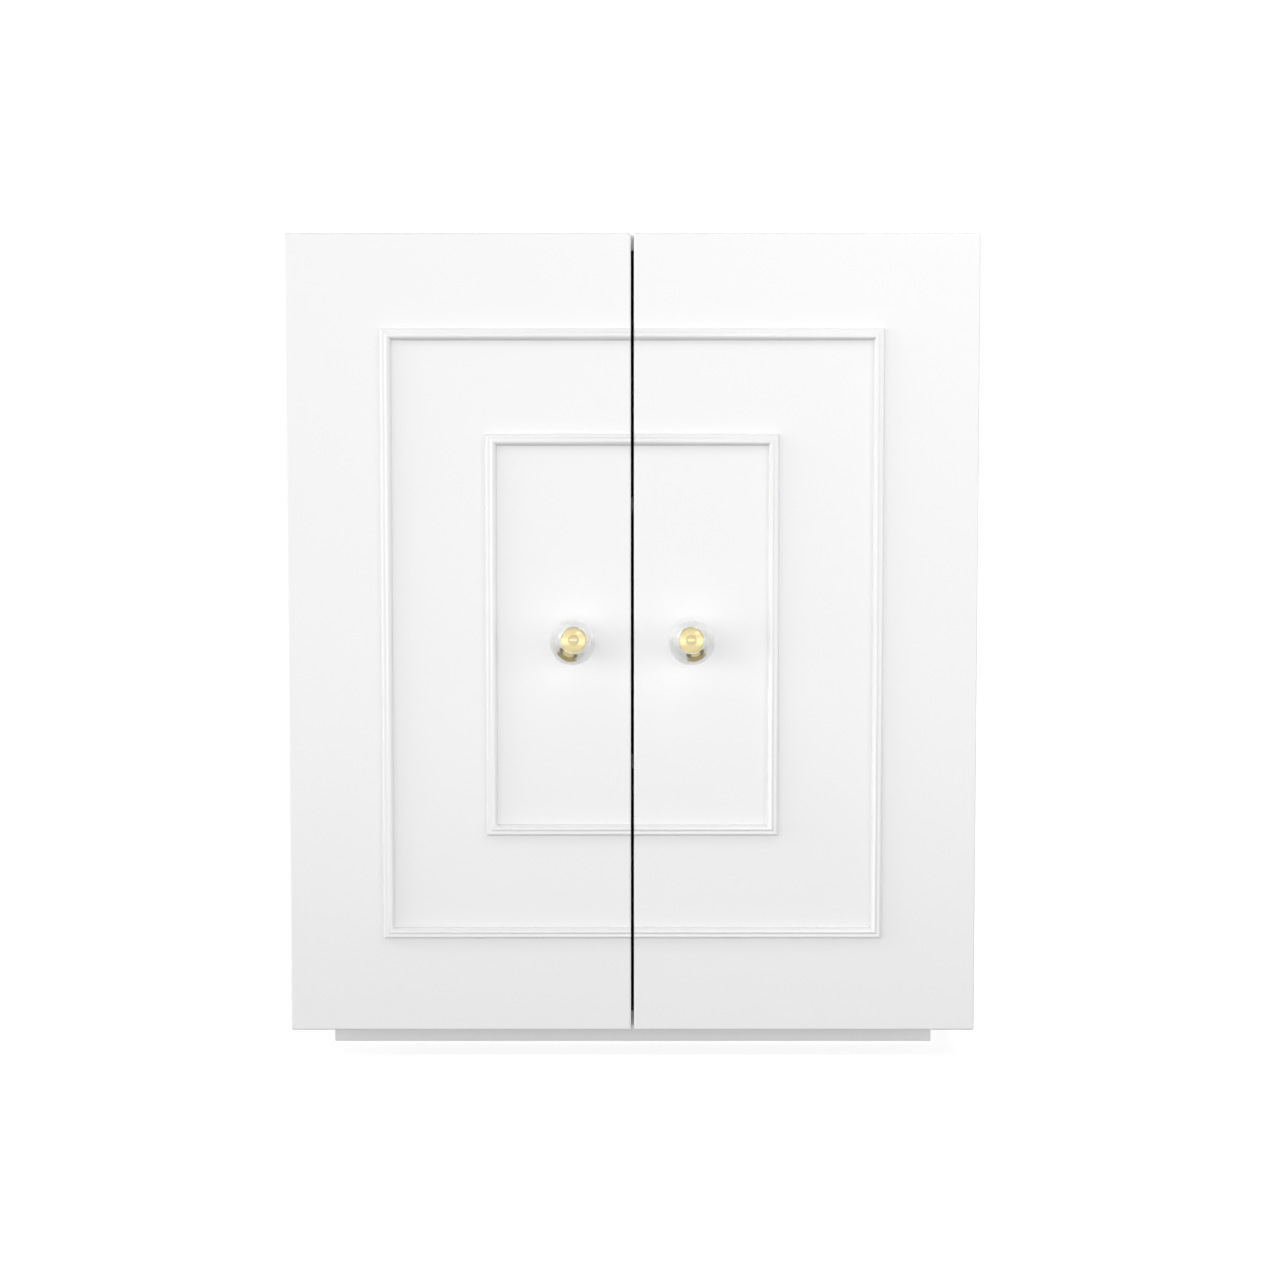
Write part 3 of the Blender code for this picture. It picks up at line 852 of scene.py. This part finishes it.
class CABINET_OT_doors(bpy.types.Operator):
    """Make both doors, with their mouldings and bumpers"""

    bl_idname = "cabinet.doors"
    bl_label = "Doors"
    bl_options = {"REGISTER", "UNDO"}

    def execute(self, context):
        sizes = context.scene.cabinet_boards
        look = context.scene.cabinet_moulding
        for name, side in SIDES.items():
            body = DOORS[name]
            slab = door_slab(name, sizes.door_ease, sizes.steps)
            make(f"door_slab_{name}", slab, "white_gloss_lacquer", body, [f"door_{name}"])
            for ring in ("outer", "inner"):
                runs = [f"{ring}_moulding_{run}_{name}" for run in ("top", "stile", "bottom")]
                shape = moulding_ring(name, side, ring, look)
                make(f"{ring}_ring_{name}", shape, "white_gloss_lacquer", body, runs)
            for level in LEVELS:
                node = f"bumper_{name}_{level}"
                shape, centre = bumper_dome(node, context.scene.cabinet_hardware.sides)
                make(f"soft_bumper_{name}_{level}", shape, "clear_bumper", body, [node], at=centre)
        return {"FINISHED"}


# --------------------------------------------------------------------------------------------------
# Knobs


def knob_ball(radius, bore, depth, sides):
    """A clear ball about its centre with a flat-bottomed bore from behind."""
    shut = math.degrees(math.asin(bore / radius))
    profile = arc((0, 0), radius, 90, shut - 90, sides // 2)
    profile[0] = (0, radius)
    drill_round = 0.0006
    profile += arc((bore - drill_round, depth - radius - drill_round), drill_round, 0, 90, 4)
    profile.append((0, depth - radius))
    return turned(profile, sides)


def post_end(radius, tip, dimple):
    """A post's turned end face, from rim to middle, with a few tool rings and a round hollow."""
    chamfer = 0.0005
    ring_height = 0.00006
    rings = 4
    points_a_ring = 8
    hollow = 0.0011
    points = [(radius, tip - chamfer), (radius - chamfer, tip)]
    span = radius - chamfer - dimple
    for step in range(1, rings * points_a_ring):
        turn = step / points_a_ring * 2 * math.pi
        inward = span * step / (rings * points_a_ring)
        points.append((radius - chamfer - inward, tip - ring_height * (1 - math.cos(turn)) / 2))
    points.append((dimple, tip))
    points += [(dimple * across, tip - hollow * up) for across, up in arc((0, 0), 1.0, 4, 90, 10)]
    points[-1] = (0, tip - hollow)
    return points


def knob_post(node, tip, dimple, sides):
    """A brass post with a flange on the door, about the middle of that flange's back."""
    low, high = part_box(node)
    flange = (high.x - low.x) / 2
    radius = flange * POST_SHARE
    thick = 0.0025
    ease = 0.0006
    clear = 0.0001
    profile = [(0, clear), (flange - ease, clear)]
    profile += arc((flange - ease, thick - ease), ease, 0, 90, 4)
    profile += arc((radius + ease, thick + ease), ease, 270, 180, 4)
    profile += post_end(radius, tip, dimple)
    return turned(profile, sides)


def cross_screw(radius, thick, sides):
    """A round-headed screw's head, facing -Y, with a cross recess."""
    profile = [(0, -thick), (radius, -thick)]
    profile += [(radius * across, -thick + thick * up) for across, up in arc((0, 0), 1.0, 14, 90, 8)]
    profile[-1] = (0, 0)
    head = turned(profile, sides)
    reach = radius * 0.55
    half_slot = radius * 0.13
    top = thick * 0.6
    for across, up in ((reach, half_slot), (half_slot, reach)):
        head = carve(head, block((-across, -radius, -up), (across, top, up)))
    return head


class CABINET_OT_knobs(bpy.types.Operator):
    """Make the clear ball knobs, their brass posts and the screws behind them"""

    bl_idname = "cabinet.knobs"
    bl_label = "Knobs"
    bl_options = {"REGISTER", "UNDO"}

    def execute(self, context):
        look = context.scene.cabinet_knobs
        for name in SIDES:
            body = DOORS[name]
            low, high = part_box(f"knob_ball_{name}")
            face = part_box(f"door_{name}")[0].y
            radius = (high.x - low.x) / 2
            centre = centre_at(low, high, low.y + radius)
            post_low, post_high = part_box(f"knob_post_{name}")
            post_radius = (post_high.x - post_low.x) / 2 * POST_SHARE
            ball = knob_ball(radius, post_radius + look.bore_play, look.bore_depth, look.sides)
            node = f"knob_ball_{name}"
            clear = make(f"clear_ball_{name}", ball, "clear_acrylic", body, [node], at=centre, crease=50.0)
            clear.visible_shadow = False
            node = f"knob_post_{name}"
            post = knob_post(node, face - post_low.y, look.dimple, look.sides)
            root = Vector((centre.x, face, centre.z))
            make(f"brass_post_{name}", post, "polished_brass", body, [node], at=root)
            node = f"knob_screw_{name}"
            shape, place = knob_screw(node, context.scene.cabinet_hardware.sides)
            make(f"machine_screw_{name}", shape, "nickel_steel", body, [node], at=place)
        return {"FINISHED"}


def knob_screw(node, sides):
    """The machine screw through the door: a cross head inside and a plain shank."""
    low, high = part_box(node)
    radius = (high.x - low.x) / 2
    head = cross_screw(radius, KNOB_SCREW_HEAD, sides)
    shape = bmesh.new()
    stamp(shape, head, Matrix.Rotation(math.pi, 4, "Z"))
    head.free()
    shank = high.y - low.y - KNOB_SCREW_HEAD
    add_rod(shape, Vector((0, -KNOB_SCREW_HEAD - shank / 2, 0)), radius / 2, shank, "Y", sides)
    return shape, centre_at(low, high, high.y)


# --------------------------------------------------------------------------------------------------
# Hinges


def hinge_cup(node, look):
    """A drawn cup with a rim and two screwed wings, about the middle of its rim's back."""
    low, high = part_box(node)
    deep = high.y - low.y
    radius, wall = look.cup_radius, look.cup_wall
    rim = (high.x - low.x) / 2
    lip = 0.001
    bend = 0.003
    mouth_round = 0.0008
    profile = [(0, deep)]
    profile += arc((radius - bend, deep - bend), bend, 90, 0, 6)
    profile += [(radius, lip), (rim - 0.0003, lip), (rim, lip - 0.0003), (rim, 0.0002), (rim - 0.0002, 0)]
    profile += arc((radius - wall + mouth_round, mouth_round), mouth_round, 270, 180, 4)
    profile += arc((radius - bend, deep - bend), bend - wall, 0, 90, 6)
    profile.append((0, deep - wall))
    shape = turned(profile, 72)
    half_wide = 0.008
    half_tall = (high.z - low.z) / 2
    inset = 0.0001
    wings = upright_rounded(
        (-half_wide, inset - lip, -half_tall), (half_wide, -inset, half_tall),
        radius=0.0055, ease=0.0002, axis=1,
    )
    middle = bmesh.new()
    add_rod(middle, Vector((0, 0, 0)), radius + 0.0002, 4 * lip, "Y", 72)
    wings = carve(wings, middle)
    stamp(shape, wings, Matrix.Identity(4))
    wings.free()
    screw = cross_screw(look.screw_radius, HINGE_SCREW_HEAD, look.sides)
    for way in (-1, 1):
        spot = Vector((0, 0.0006, way * (rim + half_tall) / 2))
        stamp(shape, screw, Matrix.Translation(spot) @ Matrix.Rotation(math.pi, 4, "Z"))
    screw.free()
    return shape, centre_at(low, high, high.y)


def hinge_arm(node, pivot, side, look):
    """The arm: an eye round the pin, a bent neck and a pressed body with its two adjusting screws."""
    low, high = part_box(node)
    half = look.neck / 2
    eye = half + 0.0008
    lean = math.degrees(math.asin(half / eye))
    body_in = 0.0146
    neck_in = body_in - look.neck
    tongue_in = body_in + look.neck
    body_front = 0.018
    overlap = 0.002
    back = high.y - pivot.y
    inward_end = abs(pivot.x) - min(abs(low.x), abs(high.x))
    bend = 0.0026
    outline = arc((0, 0), eye, lean, 360 - lean, 16)
    outline += arc((body_in - bend, bend - half), bend, -90, 0, 8)
    outline += [
        (body_in, body_front - 2 * look.neck),
        (tongue_in, body_front - half),
        (tongue_in, body_front + overlap),
        (body_in + 0.0003, body_front + overlap),
        (neck_in, body_front - 2 * look.neck + half),
    ]
    inner_bend = 0.0006
    outline += arc((neck_in - inner_bend, half + inner_bend), inner_bend, 0, -90, 4)
    half_neck = 0.0028
    shape = prism([(-side * inward, y) for inward, y in outline], -half_neck, half_neck)
    rims = [edge for edge in shape.edges if abs(edge.verts[0].co.z - edge.verts[1].co.z) < 1e-6]
    bmesh.ops.bevel(shape, geom=rims, offset=0.0003, segments=2, profile=0.5, affect="EDGES")
    caps = [face for face in shape.faces if len(face.verts) > 4]
    bmesh.ops.triangulate(shape, faces=caps)
    half_tall = (high.z - low.z) / 2
    corners = ((-side * body_in, body_front, -half_tall), (-side * inward_end, back, half_tall))
    body_low = Vector(map(min, *corners))
    body_high = Vector(map(max, *corners))
    channel = upright_rounded(body_low, body_high, radius=0.0024, ease=0.0007, axis=0)
    inner_face = -side * inward_end
    for y in (0.030, 0.034):
        hole = bmesh.new()
        add_rod(hole, Vector((inner_face, y, 0)), 0.0036, 0.0018, "X", 40)
        channel = carve(channel, hole)
    stamp(shape, channel, Matrix.Identity(4))
    channel.free()
    turn = Matrix.Rotation(-side * math.pi / 2, 4, "Z")
    for y, size, sunk in ((0.0335, 0.9, 0.0004), (0.056, 1.2, -0.0006)):
        screw = cross_screw(look.screw_radius * size, 0.0016, look.sides)
        stamp(shape, screw, Matrix.Translation((inner_face + side * sunk, y, 0)) @ turn)
        screw.free()
    return shape, Vector(pivot)


def hinge_plate(node, side, look):
    """The plate under an arm, with a screwed wing above and below."""
    low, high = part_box(node)
    middle = (low + high) / 2
    wall = max(abs(low.x), abs(high.x))
    face = min(abs(low.x), abs(high.x))
    half_body = 0.009
    half_tall = (high.z - low.z) / 2
    shape = bmesh.new()
    raised = sorted((0, -side * (wall - face)))
    plate = upright_rounded(
        (raised[0], low.y - middle.y, -half_body), (raised[1], high.y - middle.y, half_body),
        radius=0.0025, ease=0.0004, axis=0,
    )
    wing_front, wing_back = -0.0085, 0.0035
    thin = sorted((0, -side * (wall - face - 0.0008)))
    wing = upright_rounded(
        (thin[0], wing_front, -half_tall), (thin[1], wing_back, half_tall),
        radius=0.0055, ease=0.0003, axis=0,
    )
    for part in (plate, wing):
        stamp(shape, part, Matrix.Identity(4))
        part.free()
    screw = cross_screw(look.screw_radius, HINGE_SCREW_HEAD, look.sides)
    turn = Matrix.Rotation(-side * math.pi / 2, 4, "Z")
    for way in (-1, 1):
        spot = Vector((
            -side * (wall - face - 0.0002), (wing_front + wing_back) / 2, way * (half_body + half_tall) / 2,
        ))
        stamp(shape, screw, Matrix.Translation(spot) @ turn)
    screw.free()
    return shape, Vector((side * wall, middle.y, middle.z))


def pivot_pin(node, sides):
    """A plain pin with chamfered ends, about its middle."""
    low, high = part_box(node)
    radius = (high.x - low.x) / 2
    half = (high.z - low.z) / 2
    ease = 0.0003
    shape = turned(
        [(0, half), (radius - ease, half), (radius, half - ease),
         (radius, ease - half), (radius - ease, -half), (0, -half)],
        sides,
    )
    bmesh.ops.rotate(shape, cent=(0, 0, 0), matrix=Matrix.Rotation(math.pi / 2, 3, "X"), verts=shape.verts)
    return shape, (low + high) / 2


class CABINET_OT_hinges(bpy.types.Operator):
    """Make the four concealed hinges: cup, pin, arm and plate"""

    bl_idname = "cabinet.hinges"
    bl_label = "Hinges"
    bl_options = {"REGISTER", "UNDO"}

    def execute(self, context):
        look = context.scene.cabinet_hardware
        for name, side in SIDES.items():
            for level in LEVELS:
                ending = f"{name}_{level}"
                pin = f"hinge_pin_{ending}"
                pivot = middle_of(pin)
                cup, arm, plate = (f"hinge_{part}_{ending}" for part in ("cup", "arm", "plate"))
                for label, body, node, made in (
                    ("drawn_cup", DOORS[name], cup, hinge_cup(cup, look)),
                    ("pivot_pin", DOORS[name], pin, pivot_pin(pin, look.sides)),
                    ("pressed_arm", CARCASS, arm, hinge_arm(arm, pivot, side, look)),
                    ("wing_plate", CARCASS, plate, hinge_plate(plate, side, look)),
                ):
                    shape, place = made
                    make(f"{label}_{ending}", shape, "nickel_steel", body, [node], at=place)
        return {"FINISHED"}


# --------------------------------------------------------------------------------------------------
# Studio


def aim(item, target):
    """Turns a light to face a point."""
    item.rotation_euler = (Vector(target) - item.location).to_track_quat("-Z", "Y").to_euler()


def softbox(name, place, target, width, height, power):
    """A rectangular area light."""
    lamp = bpy.data.lights.new(name, "AREA")
    lamp.shape = "RECTANGLE"
    lamp.size = width
    lamp.size_y = height
    lamp.energy = power
    item = put(name, lamp)
    item.location = place
    aim(item, target)
    return item


def combined(tree, operation, first, second):
    """Two numbers put together by a sum or a product."""
    node = tree.nodes.new("ShaderNodeMath")
    node.operation = operation
    tree.links.new(first, node.inputs[0])
    tree.links.new(second, node.inputs[1])
    return node.outputs["Value"]


def white_room(look):
    """A white surround with a bright band of wall at the cabinet's height, brighter at the left."""
    world = bpy.data.worlds.new("white_room")
    world.use_nodes = True
    bpy.context.scene.world = world
    tree = world.node_tree
    room = tree.nodes["Background"]
    place = tree.nodes.new("ShaderNodeTexCoord")
    split = tree.nodes.new("ShaderNodeSeparateXYZ")
    tree.links.new(place.outputs["Generated"], split.inputs["Vector"])
    height = split.outputs["Z"]
    band = combined(
        tree, "MULTIPLY",
        ramp(tree, height, *WALL_FOOT, 0.0, 1.0, smooth=True),
        ramp(tree, height, *WALL_HEAD, 1.0, 0.0, smooth=True),
    )
    walls = ramp(tree, split.outputs["X"], -1.0, 1.0, look.wall_left, look.wall_right)
    ends = ramp(tree, height, -1.0, 1.0, look.below, look.above)
    glow = combined(tree, "ADD", ends, combined(tree, "MULTIPLY", band, walls))
    tree.links.new(glow, room.inputs["Strength"])
    fill(room, {"Color": WHITE})


def seen_only(item):
    """Keeps a bright stage piece from lighting the cabinet or showing in its gloss."""
    item.visible_diffuse = False
    item.visible_glossy = False


def studio_floor(colour):
    """A wide pale floor that stays bright in the shade of the cabinet."""
    shape = bmesh.new()
    bmesh.ops.create_circle(shape, cap_ends=True, segments=96, radius=BACKDROP_RADIUS)
    mesh = mesh_of("studio_floor", shape)
    made, tree, shader = new_finish("studio_floor")
    tone = shaded(tree, noise(tree, 0.5), darker(colour, 0.01), colour)
    tree.links.new(tone, shader.inputs["Base Color"])
    fill(shader, {"Roughness": 0.8, "Emission Color": WHITE, "Emission Strength": FLOOR_GLOW})
    mesh.materials.append(made)
    floor = put("studio_floor", mesh)
    floor.location = (0, 0, -FLOOR_DROP)
    seen_only(floor)


def studio_backdrop():
    """A white dome behind everything, which lights nothing."""
    shape = bmesh.new()
    bmesh.ops.create_uvsphere(shape, u_segments=96, v_segments=48, radius=BACKDROP_RADIUS)
    bmesh.ops.reverse_faces(shape, faces=shape.faces)
    mesh = mesh_of("studio_backdrop", shape)
    made, tree, shader = new_finish("studio_backdrop")
    glow = tree.nodes.new("ShaderNodeEmission")
    tone = shaded(tree, noise(tree, 20.0), (0.98, 0.98, 0.98), (1.0, 1.0, 1.0))
    tree.links.new(tone, glow.inputs["Color"])
    fill(glow, {"Strength": BACKDROP_GLOW})
    tree.links.new(glow.outputs["Emission"], tree.nodes["Material Output"].inputs["Surface"])
    tree.nodes.remove(shader)
    mesh.materials.append(made)
    dome = put("studio_backdrop", mesh)
    dome.visible_shadow = False
    seen_only(dome)


class CABINET_OT_studio(bpy.types.Operator):
    """Make the floor, the lights and the camera"""

    bl_idname = "cabinet.studio"
    bl_label = "Studio"
    bl_options = {"REGISTER", "UNDO"}

    def execute(self, context):
        look = context.scene.cabinet_studio
        white_room(look)
        studio_floor(look.floor)
        studio_backdrop()
        middle = Vector((0, solid_low.y, (solid_low.z + solid_high.z) / 2))
        softbox("left_light", (-2.5, -0.7, 1.7), middle, 0.8, 0.8, look.left_power)
        softbox("top_light", (0.75, -1.0, 1.75), middle, 0.7, 0.5, look.top_power)
        front = softbox("front_light", (0.0, -3.2, 0.3), middle, 2.2, 0.5, look.front_power)
        front.visible_glossy = False
        softbox("low_light", (1.6, -2.2, 0.4), middle, 1.0, 0.6, look.low_power)
        lens = bpy.data.cameras.new("camera")
        lens.lens = look.lens
        lens.sensor_width = 36.0
        camera = put("camera", lens)
        camera.location = CAMERA_PLACE
        camera.rotation_euler = (math.radians(90 - CAMERA_TILT), 0, 0)
        context.scene.camera = camera
        context.scene.view_settings.view_transform = "Standard"
        return {"FINISHED"}


# --------------------------------------------------------------------------------------------------
# Panel and registration


OPERATORS = (
    CABINET_OT_carcass,
    CABINET_OT_plinth,
    CABINET_OT_shelves,
    CABINET_OT_doors,
    CABINET_OT_knobs,
    CABINET_OT_hinges,
    CABINET_OT_studio,
)


class CABINET_PT_sidebar(bpy.types.Panel):
    """Buttons that make the cabinet, and the sizes and colours it is made with"""

    bl_idname = "CABINET_PT_sidebar"
    bl_label = "Lacquered Cabinet"
    bl_space_type = "VIEW_3D"
    bl_region_type = "UI"
    bl_category = "Cabinet"

    def draw(self, context):
        column = self.layout.column(align=True)
        for operator in OPERATORS:
            column.operator(operator.bl_idname)
        for pointer, group in SETTINGS.items():
            section = self.layout.box()
            for setting in group.__annotations__:
                section.prop(getattr(context.scene, pointer), setting)


def register():
    """Adds the settings, operators and panel to Blender."""
    for kind in (*GROUPS, *OPERATORS, CABINET_PT_sidebar):
        bpy.utils.register_class(kind)
    for pointer, group in SETTINGS.items():
        setattr(bpy.types.Scene, pointer, PointerProperty(type=group))


def unregister():
    """Takes them out again."""
    for pointer in SETTINGS:
        delattr(bpy.types.Scene, pointer)
    for kind in reversed((*GROUPS, *OPERATORS, CABINET_PT_sidebar)):
        bpy.utils.unregister_class(kind)


def main():
    """Makes every piece and the studio."""
    register()
    bpy.ops.cabinet.carcass()
    bpy.ops.cabinet.plinth()
    bpy.ops.cabinet.shelves()
    bpy.ops.cabinet.doors()
    bpy.ops.cabinet.knobs()
    bpy.ops.cabinet.hinges()
    bpy.ops.cabinet.studio()


if __name__ == "__main__":
    main()
